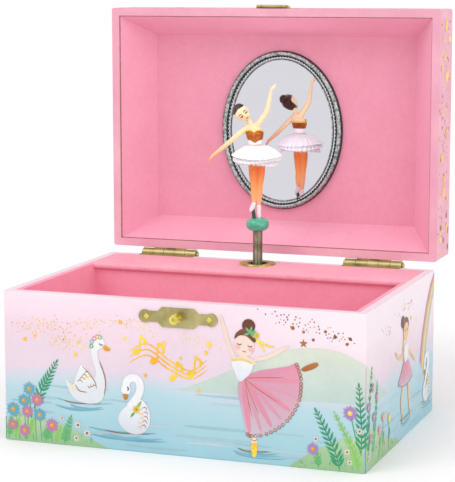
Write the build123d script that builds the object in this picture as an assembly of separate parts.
from build123d import *
import math
import os

# A ballerina jewellery box with its lid open and the musical movement behind the rear compartment.
# Origin: centre of the base's underside. X to the right, Y to the rear, Z up. Millimetres.

# ---- case ----
BODY_WIDTH = 152.0
BODY_DEPTH = 108.5
BODY_HEIGHT = 61.75
LID_HEIGHT = 22.5
WALL = 3.5                      # board and printed paper together
PAPER = 0.25                    # printed paper glued round the boards
BASE_THICKNESS = 3.5
CORNER_RADIUS = 1.0
PAPER_START = 0.3               # the paper stops just above the table
LINER = 2.2                     # padded flock card inside the tray
TRAY_FLOOR = 1.5
LINER_DROP = 0.2                # the liner stops just under the rim
PARTITION = 2.0
COVER_THICKNESS = 2.5
COVER_FRONT_Y = 21.5
PARTITION_Y = 23.5
COVER_EDGE_RADIUS = 1.1

# ---- lid hinges ----
HINGE_BACKSET = 2.5             # pin centre behind the rear face
RIM_GAP = 0.7
HINGE_X = 48.0
HINGE_LENGTH = 26.0
KNUCKLES = 5
KNUCKLE_RADIUS = 2.1
KNUCKLE_GAP = 0.15
HINGE_PIN_RADIUS = 0.75
RUNNING_FIT = 0.05
LEAF = 0.6
LEAF_GAP = 0.2                  # between the two leaves when the lid is shut
LEAF_REACH = 3.35               # over the rim, from the rear face
NAIL_SHANK = 0.4
NAIL_HEAD = 0.8
NAIL_DEPTH = 5.0

# ---- lid lining and mirror ----
TOP_BOARD = 3.0
PANEL = 1.0
BEVEL_RECESS = 0.85             # the sloped lining starts below the lid's rim
BEVEL_LIP = 0.5
PANEL_HALF_WIDTH = 61.5
PANEL_HALF_DEPTH = 41.8
MIRROR_X = -0.5
MIRROR_Y = 0.65
MIRROR_OUTER = (28.5, 35.85)
MIRROR_OPENING = (24.0, 31.75)
MIRROR_REBATE = 1.2
MIRROR_FRAME = 2.3
MIRROR_GLASS = 1.2
GLASS_CLEARANCE = 0.05

# ---- front latch ----
LATCH_Z = 55.4
LATCH_PLATE = 0.5
LATCH_HALF_WIDTH = 16.5
LATCH_HALF_HEIGHT = 3.95
LATCH_NAIL_X = 13.1
STUD_FLANGE = 1.9
STUD_NECK = 1.1
STUD_REACH = 4.6
HASP_AXIS_OUT = 0.9             # pin centre in front of the lid's face
HASP_AXIS_UP = 1.6              # pin centre above the lid's rim
HASP_WIDTH = 14.0
HASP_TONGUE_WIDTH = 9.0
HASP_KNUCKLE = 0.75
HASP_PIN = 0.35
HASP_LENGTH = 13.3

# ---- dancer ----
SPINDLE_X = -1.0
SPINDLE_Y = 43.0
RING_OUTER = 8.0
RING_HOLE = 4.5
RING_THICKNESS = 0.7
SPRING_RADIUS = 2.2
SPRING_WIRE = 0.7
SPRING_BOTTOM = 57.6
SPRING_TOP = 78.4
BEAD_BOTTOM = 76.7
BEAD_TOP = 82.2
BEAD_RADIUS = 5.1
FACING = math.radians(19.15)    # the dancer faces to the right of the front
TUTU_RADIUS = 10.4
TUTU_HOLE = 3.8

# ---- movement ----
KEY_X = 40.75
TRAIN_Z = 28.0                  # height of the key and of the cylinder
BEDPLATE = 1.6
DRIVE_MODULE = 0.4583           # crown wheel on the key arbor, pinion on the cylinder arbor
DRIVE_TEETH = 48
DRIVE_PINION_TEETH = 12
SPINDLE_MODULE = 0.5
SPINDLE_TEETH = 16
TRAIN_MODULE = 0.35
CYLINDER_WHEEL_TEETH = 32
GOVERNOR_PINION_TEETH = 8
GOVERNOR_WHEEL_TEETH = 30
FAN_PINION_TEETH = 10
ARBOR = 0.8
CYLINDER_RADIUS = 5.0
CYLINDER_START = 7.6
CYLINDER_LENGTH = 20.0
PIN_HEIGHT = 0.5
COMB_TEETH = 18
KEY_ARBOR = 1.45
STOP_WIRE_X = -2.1              # just behind the spring, in the same hole
STOP_WIRE_Y = 46.2
STOP_WIRE_RADIUS = 0.5
STOP_WIRE_TOP = 72.9
STOP_PIVOT_X = 6.0
STOP_PIVOT_Z = 51.0

# ---- places worked out from the sizes above ----
HINGE_Y = BODY_DEPTH / 2 + HINGE_BACKSET
HINGE_Z = BODY_HEIGHT + RIM_GAP / 2
LID_RIM = BODY_HEIGHT + RIM_GAP
LID_TOP = LID_RIM + LID_HEIGHT
HALF_WIDTH = BODY_WIDTH / 2
HALF_DEPTH = BODY_DEPTH / 2
INNER_X = HALF_WIDTH - WALL
INNER_Y = HALF_DEPTH - WALL
BOARD_TOP = BODY_HEIGHT - PAPER
TRAY_TOP = BASE_THICKNESS + TRAY_FLOOR
COVER_UNDER = BODY_HEIGHT - COVER_THICKNESS
PLATE_FRONT = INNER_Y - BEDPLATE
DRIVE_RADIUS = DRIVE_MODULE * DRIVE_TEETH / 2
DRIVE_PINION_RADIUS = DRIVE_MODULE * DRIVE_PINION_TEETH / 2
DRIVE_PINION_X = KEY_X - DRIVE_RADIUS
DRIVE_FACE = SPINDLE_Y - DRIVE_PINION_RADIUS
SPINDLE_GEAR_RADIUS = SPINDLE_MODULE * SPINDLE_TEETH / 2
GOVERNOR_Z = TRAIN_Z + TRAIN_MODULE * (CYLINDER_WHEEL_TEETH + GOVERNOR_PINION_TEETH) / 2
FAN_Z = GOVERNOR_Z + TRAIN_MODULE * (GOVERNOR_WHEEL_TEETH + FAN_PINION_TEETH) / 2

parts = {}


# ---------------------------------------------------------------- helpers
def block(x0, x1, y0, y1, z0, z1):
    return Pos((x0 + x1) / 2, (y0 + y1) / 2, (z0 + z1) / 2) * Box(x1 - x0, y1 - y0, z1 - z0)


def rod_x(x0, x1, y, z, radius):
    """A round rod along X."""
    return Pos(x0, y, z) * Rot(0, 90, 0) * extrude(Circle(radius), x1 - x0)


def rod_y(x, y0, y1, z, radius):
    """A round rod along Y."""
    return Pos(x, y0, z) * Rot(-90, 0, 0) * extrude(Circle(radius), y1 - y0)


def rod_z(x, y, z0, z1, radius):
    """A round rod along Z."""
    return Pos(x, y, z0) * extrude(Circle(radius), z1 - z0)


def rounded_block(width, depth, radius, z0, z1):
    return Pos(0, 0, z0) * extrude(RectangleRounded(width, depth, radius), z1 - z0)


def board_block(z0, z1):
    """The outside of the boards, under their printed paper."""
    return rounded_block(BODY_WIDTH - 2 * PAPER, BODY_DEPTH - 2 * PAPER, CORNER_RADIUS - PAPER, z0, z1)


def opened(shape):
    """Swing a piece drawn on the shut lid back to where it stands at rest, with the lid open."""
    return Pos(0, HINGE_Y, HINGE_Z) * Rot(-90, 0, 0) * Pos(0, -HINGE_Y, -HINGE_Z) * shape


def joined(shapes):
    """One solid, or a group of separate ones, from a list."""
    whole = shapes[0]
    for shape in shapes[1:]:
        whole = whole + shape
    return whole


def spur_gear(teeth, module, width, bore, first_angle=0.0):
    """A gear along Z from 0 to width, with one tooth centred at first_angle in degrees."""
    pitch_radius = module * teeth / 2
    tip = pitch_radius + 0.8 * module
    root = pitch_radius - 1.15 * module
    pitch = math.pi * module
    root_half = 0.27 * pitch / pitch_radius
    tip_half = 0.12 * pitch / pitch_radius
    points = []
    for tooth in range(teeth):
        centre = math.radians(first_angle) + 2 * math.pi * tooth / teeth
        for radius, offset in ((root, -root_half), (tip, -tip_half), (tip, tip_half), (root, root_half)):
            points.append((radius * math.cos(centre + offset), radius * math.sin(centre + offset)))
    blank = extrude(make_face(Polyline(*points, close=True)), width)
    return blank - extrude(Circle(bore), width)


def crown_gear(teeth, module, disc, tooth_length, bore, first_angle=0.0):
    """A disc along Z from 0 to disc, with teeth standing up from its face round the pitch radius."""
    pitch_radius = module * teeth / 2
    inner = pitch_radius - tooth_length / 2
    outer = pitch_radius + tooth_length / 2
    half = 0.17 * math.pi * module / pitch_radius
    height = 1.75 * module
    wheel = extrude(Circle(outer + 0.2), disc)
    ribs = []
    for tooth in range(teeth):
        centre = math.radians(first_angle) + 2 * math.pi * tooth / teeth
        corners = [(inner, -half), (outer, -half), (outer, half), (inner, half)]
        points = [(r * math.cos(centre + a), r * math.sin(centre + a)) for r, a in corners]
        ribs.append(Pos(0, 0, disc) * extrude(make_face(Polyline(*points, close=True)), height))
    wheel = wheel + ribs
    return wheel - extrude(Circle(bore), disc)


def limb(points, radii):
    """A round limb through some points, with a radius at each."""
    pieces = [Pos(*points[0]) * Sphere(radii[0])]
    for start, end, r0, r1 in zip(points, points[1:], radii, radii[1:]):
        way = Vector(*end) - Vector(*start)
        plane = Plane(origin=start, z_dir=way)
        pieces.append(Solid.make_cone(r0, r1, way.length, plane))
        pieces.append(Pos(*end) * Sphere(r1))
    return joined(pieces)


def on_dancer(across, forward, height):
    """A point beside the spindle: across the dancer's view, forward of them, and the height."""
    x = SPINDLE_X + across * math.cos(FACING) + forward * math.sin(FACING)
    y = SPINDLE_Y + across * math.sin(FACING) - forward * math.cos(FACING)
    return (x, y, height)


# ---------------------------------------------------------------- case
def mortises(z0, z1):
    """The shallow cuts in a rear rim that take the hinge leaves."""
    front = HALF_DEPTH - LEAF_REACH - 0.05
    half = HINGE_LENGTH / 2 + 0.1
    return [block(side * HINGE_X - half, side * HINGE_X + half, front, HALF_DEPTH + 1, z0, z1)
            for side in (-1, 1)]


def nail_places():
    """Where the leaf nails go, two in each leaf."""
    y = HALF_DEPTH - WALL / 2
    return [(side * HINGE_X + end * 0.36 * HINGE_LENGTH, y) for side in (-1, 1) for end in (-1, 1)]


def nail_holes(z0, z1):
    return [rod_z(x, y, z0, z1, NAIL_SHANK) for x, y in nail_places()]


def plate_screw_places():
    """The screws that hold the movement, round the key hole, seen from the rear."""
    return [(-9.0, 14.0), (-9.0, 46.0), (49.5, 12.5), (49.5, 46.0)]


def rear_cuts():
    """The key hole and screw holes through the rear wall."""
    cuts = [rod_y(KEY_X, INNER_Y - 1, HALF_DEPTH + 1, TRAIN_Z, 4.0)]
    for x, z in plate_screw_places():
        cuts.append(rod_y(x, INNER_Y - 1, HALF_DEPTH + 1, z, 1.05))
    return cuts


def front_cuts():
    """The holes through the front wall for the latch stud and its plate's nails."""
    cuts = [rod_y(0, -HALF_DEPTH - 1, -INNER_Y + 1, LATCH_Z, STUD_NECK)]
    for side in (-1, 1):
        cuts.append(rod_y(side * LATCH_NAIL_X, -HALF_DEPTH - 1, -INNER_Y - 0.7, LATCH_Z, 0.5))
    return cuts


def make_case():
    core = board_block(0, BOARD_TOP)
    slab = block(-HALF_WIDTH, HALF_WIDTH, -HALF_DEPTH, HALF_DEPTH, 0, BASE_THICKNESS)
    parts["base_board"] = core & slab
    front = core & block(-HALF_WIDTH, HALF_WIDTH, -HALF_DEPTH, -INNER_Y, BASE_THICKNESS, BOARD_TOP)
    parts["front_wall"] = front - front_cuts()
    rear = core & block(-HALF_WIDTH, HALF_WIDTH, INNER_Y, HALF_DEPTH, BASE_THICKNESS, BOARD_TOP)
    leaf_seat = HINGE_Z - LEAF_GAP / 2 - LEAF
    rear = rear - mortises(leaf_seat, BODY_HEIGHT) - rear_cuts()
    parts["rear_wall"] = rear - nail_holes(BODY_HEIGHT - NAIL_DEPTH, BODY_HEIGHT)
    for name, side in (("left_wall", -1), ("right_wall", 1)):
        low, high = sorted((side * INNER_X, side * (HALF_WIDTH - PAPER)))
        parts[name] = block(low, high, -INNER_Y, INNER_Y, BASE_THICKNESS, BOARD_TOP)
    skin = rounded_block(BODY_WIDTH, BODY_DEPTH, CORNER_RADIUS, PAPER_START, BODY_HEIGHT) - core
    skin = skin - block(-INNER_X, INNER_X, -INNER_Y, INNER_Y, 0, BODY_HEIGHT + 1)
    skin = skin - mortises(leaf_seat, BODY_HEIGHT + 1) - rear_cuts() - front_cuts()
    parts["body_print_wrap"] = skin


def make_tray():
    top = BODY_HEIGHT - LINER_DROP
    inner = block(-INNER_X + LINER, INNER_X - LINER, -INNER_Y + LINER, PARTITION_Y + 1, BASE_THICKNESS, top)
    liner = block(-INNER_X, INNER_X, -INNER_Y, PARTITION_Y, BASE_THICKNESS, top) - inner
    cover_space = block(-INNER_X, INNER_X, COVER_FRONT_Y - 0.1, PARTITION_Y + 1, COVER_UNDER, top + 1)
    parts["tray_liner"] = liner - cover_space
    parts["tray_floor_card"] = block(
        -INNER_X + LINER, INNER_X - LINER, -INNER_Y + LINER, PARTITION_Y, BASE_THICKNESS, TRAY_TOP)
    parts["compartment_partition"] = block(
        -INNER_X, INNER_X, PARTITION_Y, PARTITION_Y + PARTITION, BASE_THICKNESS, COVER_UNDER)
    cover = block(-INNER_X, INNER_X, COVER_FRONT_Y, INNER_Y, COVER_UNDER, BODY_HEIGHT)
    cover = fillet(cover.edges().filter_by(Axis.X).group_by(Axis.Y)[0], COVER_EDGE_RADIUS)
    parts["compartment_cover"] = cover - rod_z(SPINDLE_X, SPINDLE_Y, 0, BODY_HEIGHT + 1, RING_HOLE)
    ring = extrude(Circle(RING_OUTER) - Circle(RING_HOLE), RING_THICKNESS)
    ring = Pos(SPINDLE_X, SPINDLE_Y, BODY_HEIGHT) * ring
    parts["escutcheon_ring"] = fillet(ring.edges().group_by(Axis.Z)[-1], 0.3)


# ---------------------------------------------------------------- hinges
def knuckle_spans(centre, mine):
    """The X spans of the even knuckles (mine 0) or the odd ones (mine 1)."""
    pitch = HINGE_LENGTH / KNUCKLES
    start = centre - HINGE_LENGTH / 2
    return [(start + i * pitch + KNUCKLE_GAP / 2, start + (i + 1) * pitch - KNUCKLE_GAP / 2)
            for i in range(KNUCKLES) if i % 2 == mine]


def leaf(centre, mine, low, high):
    """One hinge leaf on the shut lid: its plate between two heights, and its knuckles."""
    rear = HINGE_Y - KNUCKLE_RADIUS - 0.25
    half = HINGE_LENGTH / 2
    shape = block(centre - half, centre + half, HALF_DEPTH - LEAF_REACH, rear, low, high)
    for x0, x1 in knuckle_spans(centre, mine):
        shape = shape + block(x0, x1, rear - 0.1, HINGE_Y, low, high)
        shape = shape + rod_x(x0, x1, HINGE_Y, HINGE_Z, KNUCKLE_RADIUS)
    bore = HINGE_PIN_RADIUS + RUNNING_FIT
    shape = shape - rod_x(centre - half - 1, centre + half + 1, HINGE_Y, HINGE_Z, bore)
    return shape - [rod_z(x, y, low - 1, high + 1, NAIL_HEAD) for x, y in nail_places()]


def leaf_nails(low, high, depth):
    """Flush nails through a leaf. depth is how far they go on, down or up."""
    nails = []
    for x, y in nail_places():
        nails.append(rod_z(x, y, low, high, NAIL_HEAD))
        start, end = sorted((low if depth < 0 else high, (low if depth < 0 else high) + depth))
        nails.append(rod_z(x, y, start, end, NAIL_SHANK))
    return joined(nails)


def make_hinges():
    body_top = HINGE_Z - LEAF_GAP / 2
    lid_low = HINGE_Z + LEAF_GAP / 2
    pins = []
    for name, side in (("left", -1), ("right", 1)):
        centre = side * HINGE_X
        body_leaf = leaf(centre, 0, body_top - LEAF, body_top)
        x0, x1 = knuckle_spans(centre, 0)[1]
        # a lug on the middle knuckle stops the lid upright
        body_leaf = body_leaf + block(x0, x1, HINGE_Y + 1.05, HINGE_Y + 3.75, HINGE_Z + 1.0, HINGE_Z + 2.4)
        bore = rod_x(x0, x1, HINGE_Y, HINGE_Z, HINGE_PIN_RADIUS + RUNNING_FIT)
        parts[name + "_hinge_body_leaf"] = body_leaf - bore
        parts[name + "_hinge_lid_leaf"] = opened(leaf(centre, 1, lid_low, lid_low + LEAF))
        half = HINGE_LENGTH / 2 + 0.1
        pin = rod_x(centre - half, centre + half, HINGE_Y, HINGE_Z, HINGE_PIN_RADIUS)
        for end in (centre - half - 0.5, centre + half):
            pin = pin + rod_x(end, end + 0.5, HINGE_Y, HINGE_Z, 1.3)
        pins.append(pin)
    parts["hinge_pins"] = joined(pins)
    case_nails = leaf_nails(body_top - LEAF, body_top, -NAIL_DEPTH + LEAF)
    lid_nails = leaf_nails(lid_low, lid_low + LEAF, NAIL_DEPTH - LEAF)
    parts["case_nails"] = case_nails + latch_plate_nails()
    parts["lid_nails"] = opened(lid_nails + hasp_nails())


# ---------------------------------------------------------------- lid, drawn shut and then opened
def hasp_cuts():
    """The holes in the lid's front for the hasp plate's nails."""
    return [rod_y(x, -HALF_DEPTH - 1, -INNER_Y - 0.7, z, NAIL_SHANK) for x, z in hasp_nail_places()]


def hasp_nail_places():
    z = LID_RIM + HASP_AXIS_UP + 4.9
    return [(side * 5.8, z) for side in (-1, 1)]


def make_lid():
    core = board_block(LID_RIM + PAPER, LID_TOP - PAPER)
    top_low = LID_TOP - PAPER - TOP_BOARD
    low = LID_RIM + PAPER
    leaf_seat = HINGE_Z + LEAF_GAP / 2 + LEAF
    top = core & block(-HALF_WIDTH, HALF_WIDTH, -HALF_DEPTH, HALF_DEPTH, top_low, LID_TOP)
    parts["lid_top_board"] = opened(top)
    front = core & block(-HALF_WIDTH, HALF_WIDTH, -HALF_DEPTH, -INNER_Y, low, top_low)
    parts["lid_front_wall"] = opened(front - hasp_cuts())
    rear = core & block(-HALF_WIDTH, HALF_WIDTH, INNER_Y, HALF_DEPTH, low, top_low)
    rear = rear - mortises(LID_RIM, leaf_seat) - nail_holes(LID_RIM, LID_RIM + NAIL_DEPTH)
    parts["lid_rear_wall"] = opened(rear)
    for name, side in (("lid_left_wall", -1), ("lid_right_wall", 1)):
        x0, x1 = sorted((side * INNER_X, side * (HALF_WIDTH - PAPER)))
        parts[name] = opened(block(x0, x1, -INNER_Y, INNER_Y, low, top_low))
    skin = rounded_block(BODY_WIDTH, BODY_DEPTH, CORNER_RADIUS, LID_RIM, LID_TOP) - core
    skin = skin - block(-INNER_X, INNER_X, -INNER_Y, INNER_Y, LID_RIM - 1, low + 1)
    parts["lid_print_wrap"] = opened(skin - mortises(LID_RIM - 1, leaf_seat) - hasp_cuts())

    panel_low = top_low - PANEL
    parts["lid_liner_panel"] = opened(block(-INNER_X, INNER_X, -INNER_Y, INNER_Y, panel_low, top_low))
    bevel_low = LID_RIM + BEVEL_RECESS
    mouth = Rectangle(2 * (INNER_X - BEVEL_LIP), 2 * (INNER_Y - BEVEL_LIP))
    back = Rectangle(2 * PANEL_HALF_WIDTH, 2 * PANEL_HALF_DEPTH)
    hollow = loft([Pos(0, 0, bevel_low) * mouth, Pos(0, 0, panel_low) * back])
    surround = block(-INNER_X, INNER_X, -INNER_Y, INNER_Y, bevel_low, panel_low)
    parts["lid_liner_frame"] = opened(surround - hollow)

    place = Pos(MIRROR_X, MIRROR_Y, panel_low - MIRROR_FRAME)
    frame = extrude(Ellipse(*MIRROR_OUTER) - Ellipse(*MIRROR_OPENING), MIRROR_FRAME)
    rebate = Ellipse(*[size + MIRROR_REBATE for size in MIRROR_OPENING])
    frame = frame - Pos(0, 0, MIRROR_FRAME - MIRROR_GLASS) * extrude(rebate, MIRROR_GLASS)
    frame = fillet(frame.edges().group_by(Axis.Z)[0], 0.4)
    parts["mirror_frame"] = opened(place * frame)
    pane = Ellipse(*[size + MIRROR_REBATE - GLASS_CLEARANCE for size in MIRROR_OPENING])
    glass = Pos(0, 0, MIRROR_FRAME - MIRROR_GLASS) * extrude(pane, MIRROR_GLASS)
    parts["mirror_glass"] = opened(place * glass)


# ---------------------------------------------------------------- latch
def latch_plate_nails():
    """Domed nails through the ears of the latch plate."""
    face = -HALF_DEPTH - LATCH_PLATE
    nails = []
    for side in (-1, 1):
        head = Pos(side * LATCH_NAIL_X, face, LATCH_Z) * Rot(90, 0, 0) * extrude(Circle(1.1), 0.6)
        head = fillet(head.edges().group_by(Axis.Y)[0], 0.45)
        nails += [head, rod_y(side * LATCH_NAIL_X, face, -INNER_Y - 0.7, LATCH_Z, 0.5)]
    return joined(nails)


def hasp_nails():
    """Nails through the hasp plate, beside its tongue."""
    nails = []
    for x, z in hasp_nail_places():
        nails += [rod_y(x, -HALF_DEPTH - 0.9, -HALF_DEPTH - 0.4, z, 0.9),
                  rod_y(x, -HALF_DEPTH - 0.4, -INNER_Y - 0.7, z, NAIL_SHANK)]
    return joined(nails)


def front_plate(outline, thickness):
    """A thin plate on the front face, from an outline drawn in XZ."""
    return Pos(0, -HALF_DEPTH, LATCH_Z) * Rot(90, 0, 0) * extrude(outline, thickness)


def make_latch():
    middle = chamfer(Rectangle(17.0, 2 * LATCH_HALF_HEIGHT).vertices(), 1.8)
    ears = Rectangle(2 * LATCH_HALF_WIDTH - 5.6, 4.3)
    ends = [Pos(side * (LATCH_HALF_WIDTH - 2.6), 0) * Circle(2.6) for side in (-1, 1)]
    outline = middle + ears + ends
    holes = [Circle(STUD_NECK)] + [Pos(side * LATCH_NAIL_X, 0) * Circle(0.5) for side in (-1, 1)]
    parts["latch_plate"] = front_plate(outline - holes, LATCH_PLATE)

    face = -HALF_DEPTH - LATCH_PLATE
    stud = rod_y(0, face, -INNER_Y, LATCH_Z, STUD_NECK)
    stud = stud + rod_y(0, face - 0.6, face, LATCH_Z, STUD_FLANGE)
    stud = stud + rod_y(0, face - STUD_REACH + 0.7, face, LATCH_Z, STUD_NECK)
    lip = rod_y(0, face - STUD_REACH, face - STUD_REACH + 0.7, LATCH_Z, STUD_FLANGE)
    stud = stud + fillet(lip.edges(), 0.25)
    parts["latch_stud"] = stud - rod_y(0, face - STUD_REACH, face - STUD_REACH + 1.5, LATCH_Z, 0.7)

    axis_y = -HALF_DEPTH - HASP_AXIS_OUT
    axis_z = LID_RIM + HASP_AXIS_UP
    half = HASP_WIDTH / 2
    tongue_half = HASP_TONGUE_WIDTH / 2
    bore = rod_x(-half - 1, half + 1, axis_y, axis_z, HASP_PIN + RUNNING_FIT)
    plate = block(-half, half, -HALF_DEPTH - 0.4, -HALF_DEPTH, axis_z + 0.95, axis_z + 6.9)
    plate = chamfer(plate.edges().filter_by(Axis.Y).group_by(Axis.Z)[-1], 1.6)
    for side in (-1, 1):
        x0, x1 = sorted((side * (tongue_half + KNUCKLE_GAP), side * half))
        plate = plate + block(x0, x1, -HALF_DEPTH - 0.4, -HALF_DEPTH, axis_z, axis_z + 1)
        plate = plate + rod_x(x0, x1, axis_y, axis_z, HASP_KNUCKLE)
    plate = plate - bore - [rod_y(x, -HALF_DEPTH - 1, 0, z, NAIL_SHANK) for x, z in hasp_nail_places()]
    parts["hasp_plate"] = opened(plate)

    tongue = Rectangle(HASP_TONGUE_WIDTH, HASP_LENGTH, align=(Align.CENTER, Align.MIN))
    tongue = fillet(tongue.vertices().group_by(Axis.Y)[-1], 3.2)
    slot_width = 2 * STUD_FLANGE + 0.3
    slot_inner = axis_z - LATCH_Z - slot_width / 2
    slot_outer = axis_z - LATCH_Z + slot_width / 2 + 0.6
    slot = Rot(0, 0, 90) * SlotOverall(slot_outer - slot_inner, slot_width)
    slot = Pos(0, (slot_inner + slot_outer) / 2) * slot
    flap = Pos(0, axis_y + 0.25, axis_z) * Rot(90, 0, 0) * extrude(tongue - slot, 0.5)
    flap = flap + rod_x(-tongue_half, tongue_half, axis_y, axis_z, HASP_KNUCKLE)
    parts["hasp_tongue"] = opened(flap - bore)
    parts["hasp_pin"] = opened(rod_x(-half - 0.2, half + 0.2, axis_y, axis_z, HASP_PIN))


# ---------------------------------------------------------------- dancer
def make_pop_up_spring():
    """A close-wound spring, drawn as a tube with one rib for each turn of wire."""
    inner = SPRING_RADIUS - SPRING_WIRE
    turns = round((SPRING_TOP - SPRING_BOTTOM) / SPRING_WIRE)
    pitch = (SPRING_TOP - SPRING_BOTTOM) / turns
    points = [(inner, SPRING_BOTTOM)]
    for turn in range(turns):
        low = SPRING_BOTTOM + turn * pitch
        points += [(SPRING_RADIUS - 0.25, low), (SPRING_RADIUS, low + 0.3 * pitch),
                   (SPRING_RADIUS, low + 0.7 * pitch)]
    points += [(SPRING_RADIUS - 0.25, SPRING_TOP), (inner, SPRING_TOP)]
    profile = make_face(Plane.XZ * Polyline(*points, close=True))
    parts["pop_up_spring"] = Pos(SPINDLE_X, SPINDLE_Y, 0) * revolve(profile, Axis.Z)


def make_dancer():
    middle = (BEAD_BOTTOM + BEAD_TOP) / 2
    half = (BEAD_TOP - BEAD_BOTTOM) / 2
    flat = BEAD_RADIUS - half * 0.8
    side = Polyline((0, -half), (flat, -half))
    rim = ThreePointArc((flat, -half), (BEAD_RADIUS, 0), (flat, half))
    top = Polyline((flat, half), (0, half), (0, -half))
    bead = revolve(make_face(Plane.XZ * (side + rim + top)), Axis.Z)
    bead = Pos(SPINDLE_X, SPINDLE_Y, middle) * bead
    socket = rod_z(SPINDLE_X, SPINDLE_Y, BEAD_BOTTOM - 1, SPRING_TOP + 0.1, SPRING_RADIUS + 0.08)
    parts["dancer_base"] = bead - socket

    waist = 114.0
    pieces = [
        limb([on_dancer(0.6, 0, BEAD_TOP), on_dancer(0.5, 0, 88.0), on_dancer(0.9, 0, 95.0),
              on_dancer(1.4, 0, 105.5)], [0.9, 1.0, 1.5, 1.9]),
        limb([on_dancer(-2.3, 0.2, 86.2), on_dancer(-1.6, 0.1, 90.0), on_dancer(-1.8, 0, 96.0),
              on_dancer(-2.1, 0, 105.5)], [1.1, 1.0, 1.5, 1.9]),
        limb([on_dancer(-0.4, 0, 105.5), on_dancer(-0.8, 0, waist), on_dancer(-1.4, 0, 118.8),
              on_dancer(-3.2, 0, 121.2)], [3.2, 2.6, 3.3, 2.2]),
        limb([on_dancer(-3.4, 0, 121.5), on_dancer(-5.0, 0, 125.0)], [1.3, 1.1]),
        Pos(*on_dancer(-6.6, 0, 127.9)) * Sphere(3.6),
        Pos(*on_dancer(-7.6, -2.9, 129.3)) * Sphere(1.7),
        limb([on_dancer(-0.6, 0, 121.4), on_dancer(3.6, 0, 128.4), on_dancer(5.5, 0, 137.2),
              on_dancer(7.3, 0, 140.4)], [1.2, 1.1, 0.8, 0.6]),
        limb([on_dancer(-5.4, 0, 120.6), on_dancer(-11.9, 0, 115.0), on_dancer(-18.8, 0, 109.6),
              on_dancer(-20.9, 0, 107.4)], [1.2, 1.1, 0.8, 0.6]),
        limb([on_dancer(-1.6, 0.1, BEAD_TOP), on_dancer(-2.0, 0.1, 85.8)], [0.9, 0.8]),
    ]
    waist_x, waist_y, tutu_foot = on_dancer(-0.4, 0, 103.6)
    waistband = rod_z(waist_x, waist_y, 111.4, 112.8, TUTU_HOLE)
    outline = Polyline((TUTU_HOLE, 2.2), (5.5, 1.4), (TUTU_RADIUS, 2.6), (TUTU_RADIUS, 4.6), (7.5, 7.8),
                       (TUTU_HOLE, 9.2), close=True)
    tutu = revolve(make_face(Plane.XZ * outline), Axis.Z)
    parts["dancer_tutu"] = Pos(waist_x, waist_y, tutu_foot) * tutu
    bead_seat = rod_z(SPINDLE_X, SPINDLE_Y, BEAD_BOTTOM, BEAD_TOP, BEAD_RADIUS)
    parts["dancer_figure"] = joined(pieces) + waistband - bead_seat


# ---------------------------------------------------------------- musical movement
def along_x(shape, x, z):
    """Put a gear drawn along Z on an arbor along X, facing right."""
    return Pos(x, SPINDLE_Y, z) * Rot(0, 90, 0) * shape


def make_movement_plate():
    plate = block(-14.5, 57.5, PLATE_FRONT, INNER_Y, 8.0, 54.0)
    plate = fillet(plate.edges().filter_by(Axis.Y), 3.0)
    plate = plate - rod_y(KEY_X, PLATE_FRONT - 1, INNER_Y + 1, TRAIN_Z, KEY_ARBOR + RUNNING_FIT)
    plate = plate - [rod_y(x, PLATE_FRONT - 1, INNER_Y + 1, z, 1.0) for x, z in plate_screw_places()]
    # posts for the cylinder's arbor
    for x0, x1 in ((5.6, 6.8), (32.0, 33.2)):
        plate = plate + block(x0, x1, 41.6, PLATE_FRONT, TRAIN_Z - 2.2, TRAIN_Z + 2.2)
        plate = plate - rod_x(x0 - 1, x1 + 1, SPINDLE_Y, TRAIN_Z, ARBOR + RUNNING_FIT)
    # pivot for the stop lever, and the guide for its wire
    plate = plate + rod_y(STOP_PIVOT_X, 45.2, PLATE_FRONT, STOP_PIVOT_Z, 0.8)
    plate = plate + block(STOP_WIRE_X - 1.5, STOP_WIRE_X + 1.5, STOP_WIRE_Y - 1.4, PLATE_FRONT, 52.6, 53.8)
    plate = plate - rod_z(STOP_WIRE_X, STOP_WIRE_Y, 52.0, 54.5, STOP_WIRE_RADIUS + RUNNING_FIT)
    parts["movement_bedplate"] = plate

    screws = []
    for x, z in plate_screw_places():
        screws.append(rod_y(x, PLATE_FRONT, HALF_DEPTH, z, 1.0))
        screws.append(rod_y(x, HALF_DEPTH, HALF_DEPTH + 1.2, z, 2.2))
    screws = joined(screws)
    slots = [block(x - 2.5, x + 2.5, HALF_DEPTH + 0.7, HALF_DEPTH + 2, z - 0.3, z + 0.3)
             for x, z in plate_screw_places()]
    parts["movement_screws"] = screws - slots


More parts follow.
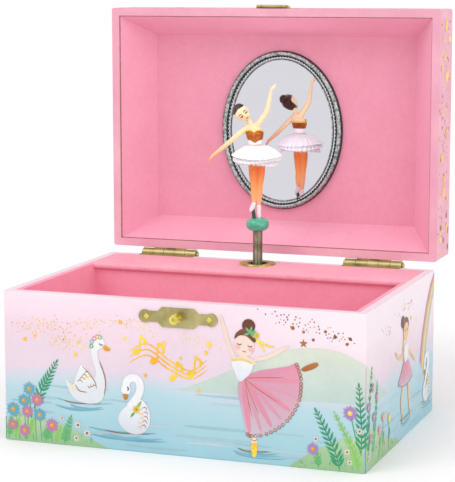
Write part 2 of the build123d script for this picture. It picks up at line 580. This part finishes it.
def make_spring_motor():
    """The wound spring in its housing, and the arbor, crown wheel and key that it drives."""
    front = 29.5
    wheel_back = DRIVE_FACE - 0.9 * DRIVE_MODULE
    disc = 1.4
    wheel_front = wheel_back - disc
    housing_end = wheel_front - 0.3
    housing = rod_y(KEY_X, front, housing_end, TRAIN_Z, 12.0)
    housing = housing - rod_y(KEY_X, front + 0.8, housing_end, TRAIN_Z, 11.2)
    housing = housing - rod_y(KEY_X, front - 1, front + 1, TRAIN_Z, 1.0 + RUNNING_FIT)
    # three legs hold the housing off the movement's plate, outside the crown wheel
    leg_radius = 14.0
    for angle in (0, 120, 240):
        x = KEY_X + leg_radius * math.cos(math.radians(angle))
        z = TRAIN_Z + leg_radius * math.sin(math.radians(angle))
        housing = housing + rod_y(x, front, PLATE_FRONT, z, 1.2)
        bridge = block(11.4, leg_radius, front, front + 2.0, -1.0, 1.0)
        housing = housing + Pos(KEY_X, 0, TRAIN_Z) * Rot(0, -angle, 0) * bridge
    parts["spring_housing"] = housing

    turns = 7
    steps = turns * 20
    thickness = 0.35
    spiral = []
    for edge, order in ((0.0, range(steps + 1)), (thickness, range(steps, -1, -1))):
        for step in order:
            angle = 2 * math.pi * step / 20
            radius = 3.2 + 7.2 * step / steps + edge
            spiral.append((radius * math.cos(angle), radius * math.sin(angle)))
    coil = extrude(make_face(Polyline(*spiral, close=True)), housing_end - front - 2.0)
    parts["mainspring"] = Pos(KEY_X, front + 1.2, TRAIN_Z) * Rot(-90, 0, 0) * coil

    arbor = rod_y(KEY_X, front - 0.6, front + 1.0, TRAIN_Z, 1.0)
    parts["key_arbor"] = arbor + rod_y(KEY_X, front + 1.0, HALF_DEPTH + 8.0, TRAIN_Z, KEY_ARBOR)
    wheel = crown_gear(DRIVE_TEETH, DRIVE_MODULE, disc, 2.2, KEY_ARBOR, 180.0 + 180.0 / DRIVE_TEETH)
    parts["drive_wheel"] = Pos(KEY_X, wheel_front, TRAIN_Z) * Rot(-90, 0, 0) * wheel

    collar = rod_y(KEY_X, HALF_DEPTH + 0.8, HALF_DEPTH + 8.0, TRAIN_Z, 3.0)
    wings = []
    for side in (-1, 1):
        centre = KEY_X + side * 6.2
        wing = rod_y(0, -0.8, 0.8, 0, 5.6) - rod_y(0, -1, 1, 0, 2.6)
        # the wings stand in the plane of the key's axis
        wings.append(Pos(centre, HALF_DEPTH + 9.0, TRAIN_Z) * Rot(90, 0, 0) * wing)
    stem = block(KEY_X - 2.6, KEY_X + 2.6, HALF_DEPTH + 4.0, HALF_DEPTH + 13.0, TRAIN_Z - 0.8, TRAIN_Z + 0.8)
    key = joined([collar, stem] + wings)
    parts["winding_key"] = key - rod_y(KEY_X, HALF_DEPTH, HALF_DEPTH + 8.0, TRAIN_Z, KEY_ARBOR)


def make_cylinder():
    end = CYLINDER_START + CYLINDER_LENGTH
    drum = rod_x(CYLINDER_START, end, SPINDLE_Y, TRAIN_Z, CYLINDER_RADIUS)
    drum = drum - rod_x(CYLINDER_START + 0.8, end - 0.8, SPINDLE_Y, TRAIN_Z, CYLINDER_RADIUS - 0.6)
    drum = drum - rod_x(CYLINDER_START, end, SPINDLE_Y, TRAIN_Z, ARBOR)
    pitch = CYLINDER_LENGTH / (COMB_TEETH + 1)
    pins = []
    for lane in range(COMB_TEETH):
        for beat in range(3):
            # a golden-angle step spreads the notes round the drum, none of them under the comb at rest
            turn = math.radians((lane * 137.5 + beat * 118.0) % 320.0 - 70.0)
            x = CYLINDER_START + pitch * (lane + 1)
            pin = Pos(x, SPINDLE_Y, TRAIN_Z) * Rot(math.degrees(turn), 0, 0)
            pins.append(pin * rod_y(0, CYLINDER_RADIUS - 0.3, CYLINDER_RADIUS + PIN_HEIGHT, 0, 0.22))
    parts["note_cylinder"] = drum + pins

    # the pinion is cut on the end of the arbor
    pinion = spur_gear(DRIVE_PINION_TEETH, DRIVE_MODULE, 2.4, ARBOR / 2, -90.0)
    arbor = rod_x(-12.0, 33.8, SPINDLE_Y, TRAIN_Z, ARBOR)
    parts["cylinder_arbor"] = arbor + along_x(pinion, DRIVE_PINION_X - 1.2, TRAIN_Z)
    wheel = spur_gear(CYLINDER_WHEEL_TEETH, TRAIN_MODULE, 1.2, ARBOR, 180.0)
    parts["cylinder_wheel"] = along_x(wheel, -7.4, TRAIN_Z)
    face = SPINDLE_X + SPINDLE_GEAR_RADIUS + 0.9 * SPINDLE_MODULE
    crown = crown_gear(SPINDLE_TEETH, SPINDLE_MODULE, 1.5, 1.2, ARBOR, 180.0 / SPINDLE_TEETH)
    parts["spindle_drive_wheel"] = Pos(face + 1.5, SPINDLE_Y, TRAIN_Z) * Rot(0, -90, 0) * crown


def make_comb():
    x0 = CYLINDER_START
    x1 = CYLINDER_START + CYLINDER_LENGTH
    pitch = CYLINDER_LENGTH / (COMB_TEETH + 1)
    tip = TRAIN_Z - CYLINDER_RADIUS - PIN_HEIGHT - 0.15
    root = 14.0
    comb = block(x0, x1, SPINDLE_Y - 0.4, SPINDLE_Y + 0.4, 9.0, root)
    for lane in range(COMB_TEETH):
        centre = x0 + pitch * (lane + 1)
        comb = comb + block(centre - 0.38, centre + 0.38, SPINDLE_Y - 0.4, SPINDLE_Y + 0.4, root - 0.1, tip)
    screws_x = (x0 + 4.0, x1 - 4.0)
    comb = comb - [rod_y(x, SPINDLE_Y - 2, SPINDLE_Y + 2, 11.3, 0.8) for x in screws_x]
    parts["comb"] = comb
    base = block(x0 - 0.6, x1 + 0.6, SPINDLE_Y + 0.4, PLATE_FRONT, 9.0, root - 0.6)
    parts["comb_base"] = base - [rod_y(x, SPINDLE_Y, PLATE_FRONT, 11.3, 0.8) for x in screws_x]
    screws = []
    for x in screws_x:
        head = rod_y(x, SPINDLE_Y - 1.3, SPINDLE_Y - 0.4, 11.3, 1.5)
        head = head - block(x - 2, x + 2, SPINDLE_Y - 2, SPINDLE_Y - 0.9, 11.1, 11.5)
        screws += [head, rod_y(x, SPINDLE_Y - 0.4, PLATE_FRONT, 11.3, 0.8)]
    parts["comb_screws"] = joined(screws)


def make_governor():
    """The air-brake: a wheel and pinion on one arbor, and a fan on another, in a bent frame."""
    bore = ARBOR * 0.75
    top = 45.0
    frame = block(-11.4, -4.6, PLATE_FRONT - 0.5, PLATE_FRONT, 38.5, top)
    frame = frame + block(-11.4, -10.2, 40.8, PLATE_FRONT, 24.5, top)
    frame = frame + block(-5.6, -4.6, 40.8, PLATE_FRONT, GOVERNOR_Z - 1.6, top)
    # the stop lever swings down through this notch
    frame = frame - block(-12, -10, STOP_WIRE_Y - 1.0, STOP_WIRE_Y + 1.0, 43.6, top + 1)
    frame = frame - rod_x(-12, -4, SPINDLE_Y, TRAIN_Z, ARBOR + RUNNING_FIT)
    for z in (GOVERNOR_Z, FAN_Z):
        frame = frame - rod_x(-12, -4, SPINDLE_Y, z, bore + RUNNING_FIT)
    parts["governor_frame"] = frame

    # the wheel, its pinion and their arbor are one turned piece, and so are the fan's arbor and pinion
    pinion = spur_gear(GOVERNOR_PINION_TEETH, TRAIN_MODULE, 1.6, bore / 2, 180.0 / GOVERNOR_PINION_TEETH)
    wheel = spur_gear(GOVERNOR_WHEEL_TEETH, TRAIN_MODULE, 0.8, bore / 2, 180.0)
    arbor = rod_x(-12.0, -4.0, SPINDLE_Y, GOVERNOR_Z, bore)
    parts["governor_wheel"] = arbor + along_x(pinion, -7.6, GOVERNOR_Z) + along_x(wheel, -9.5, GOVERNOR_Z)
    fan_pinion = spur_gear(FAN_PINION_TEETH, TRAIN_MODULE, 1.6, bore / 2, 180.0 / FAN_PINION_TEETH)
    parts["fan_shaft"] = rod_x(-17.6, -4.0, SPINDLE_Y, FAN_Z, bore) + along_x(fan_pinion, -9.9, FAN_Z)
    blades = block(-17.4, -12.2, SPINDLE_Y - 5.2, SPINDLE_Y + 5.2, FAN_Z - 0.15, FAN_Z + 0.15)
    hub = rod_x(-17.4, -12.2, SPINDLE_Y, FAN_Z, 1.3)
    parts["fan_blades"] = blades + hub - rod_x(-18, -12, SPINDLE_Y, FAN_Z, bore)


def make_spindle_drive():
    parts["spindle_shaft"] = (rod_z(SPINDLE_X, SPINDLE_Y, 30.4, 64.0, 1.0)
                              + rod_z(SPINDLE_X, SPINDLE_Y, 49.0, 50.0, 1.9))
    gear = spur_gear(SPINDLE_TEETH, SPINDLE_MODULE, 1.6, 1.0, 0.0)
    height = TRAIN_Z + SPINDLE_GEAR_RADIUS
    parts["spindle_gear"] = Pos(SPINDLE_X, SPINDLE_Y, height - 0.8) * gear

    bracket = block(-3.4, 5.0, PLATE_FRONT - 0.9, PLATE_FRONT, 35.0, 47.4)
    bracket = bracket + block(-3.4, 2.0, 41.0, PLATE_FRONT, 35.0, 36.1)
    bracket = bracket + block(0.5, 5.0, 44.5, PLATE_FRONT, 46.3, 47.4)
    bracket = bracket + block(-3.4, 5.0, 40.8, 45.3, 46.3, 47.4)
    parts["spindle_bracket"] = bracket - rod_z(SPINDLE_X, SPINDLE_Y, 34, 48, 1.0 + RUNNING_FIT)


def make_stop():
    """A wire beside the spring, and the lever that it presses into the fan as the lid shuts."""
    wire = rod_z(STOP_WIRE_X, STOP_WIRE_Y, 51.6, STOP_WIRE_TOP, STOP_WIRE_RADIUS)
    parts["stop_wire"] = wire + Pos(STOP_WIRE_X, STOP_WIRE_Y, STOP_WIRE_TOP) * Sphere(STOP_WIRE_RADIUS)
    front, back = STOP_WIRE_Y - 0.5, STOP_WIRE_Y + 0.5
    lever = block(-15.2, STOP_PIVOT_X, front, back, 50.2, 51.5)
    lever = lever + block(-15.2, -13.6, front, back, 49.9, 50.3)
    lever = lever + rod_y(STOP_PIVOT_X, front, back, STOP_PIVOT_Z, 1.9)
    parts["stop_lever"] = lever - rod_y(STOP_PIVOT_X, front - 1, back + 1, STOP_PIVOT_Z, 0.8 + RUNNING_FIT)


# ---------------------------------------------------------------- make and write every piece
make_case()
make_tray()
make_hinges()
make_lid()
make_latch()
make_pop_up_spring()
make_dancer()
make_movement_plate()
make_spring_motor()
make_cylinder()
make_comb()
make_governor()
make_spindle_drive()
make_stop()

os.makedirs("parts", exist_ok=True)
for name, shape in parts.items():
    export_step(shape, os.path.join("parts", name + ".step"))
print(len(parts), "pieces")
